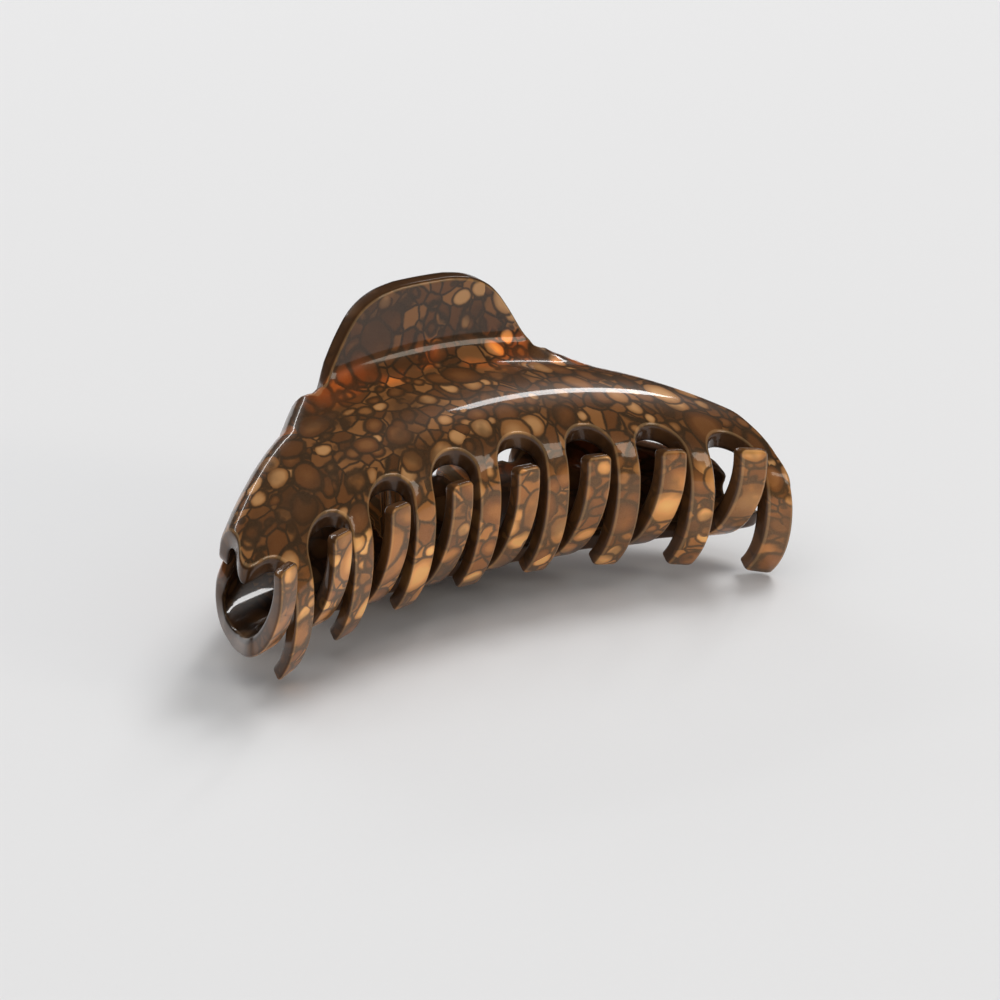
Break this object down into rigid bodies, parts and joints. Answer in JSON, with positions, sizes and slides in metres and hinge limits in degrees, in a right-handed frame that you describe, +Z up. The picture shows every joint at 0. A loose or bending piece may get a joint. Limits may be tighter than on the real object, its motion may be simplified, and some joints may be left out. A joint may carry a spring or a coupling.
{
  "type": "claw clip",
  "caption": "Large hair claw clip lying on its side: two curved interlocking toothed jaws on a sprung hinge, opened by squeezing flared thumb tabs.",
  "frame": {"origin": "centre of the clip's footprint box, on the surface that it lies on", "axes": "+X along the hinge, -Y towards the teeth, +Y towards the thumb tabs, +Z up"},
  "size_m": [0.0864, 0.047, 0.042],
  "materials": {
    "tortoiseshell": "high gloss lacquer over a bronze and dark brown bubble pattern",
    "pin_steel": "bright drawn steel",
    "spring_steel": "bright spring wire"
  },
  "bodies": {
    "lower_side": {"lower_jaw": "tortoiseshell", "hinge_pin": "pin_steel", "torsion_spring": "spring_steel"},
    "upper_side": {"upper_jaw": "tortoiseshell"}
  },
  "joints": [
    {"name": "jaw_hinge", "type": "hinge", "parent": "lower_side", "child": "upper_side", "pos_m": [0, 0.00894, 0.01911], "axis": [-1, 0, 0], "range_deg": [0, 70], "stiffness_Nm_per_rad": 0.15, "springref_deg": -40.11, "deforming": ["torsion_spring"]}
  ]
}
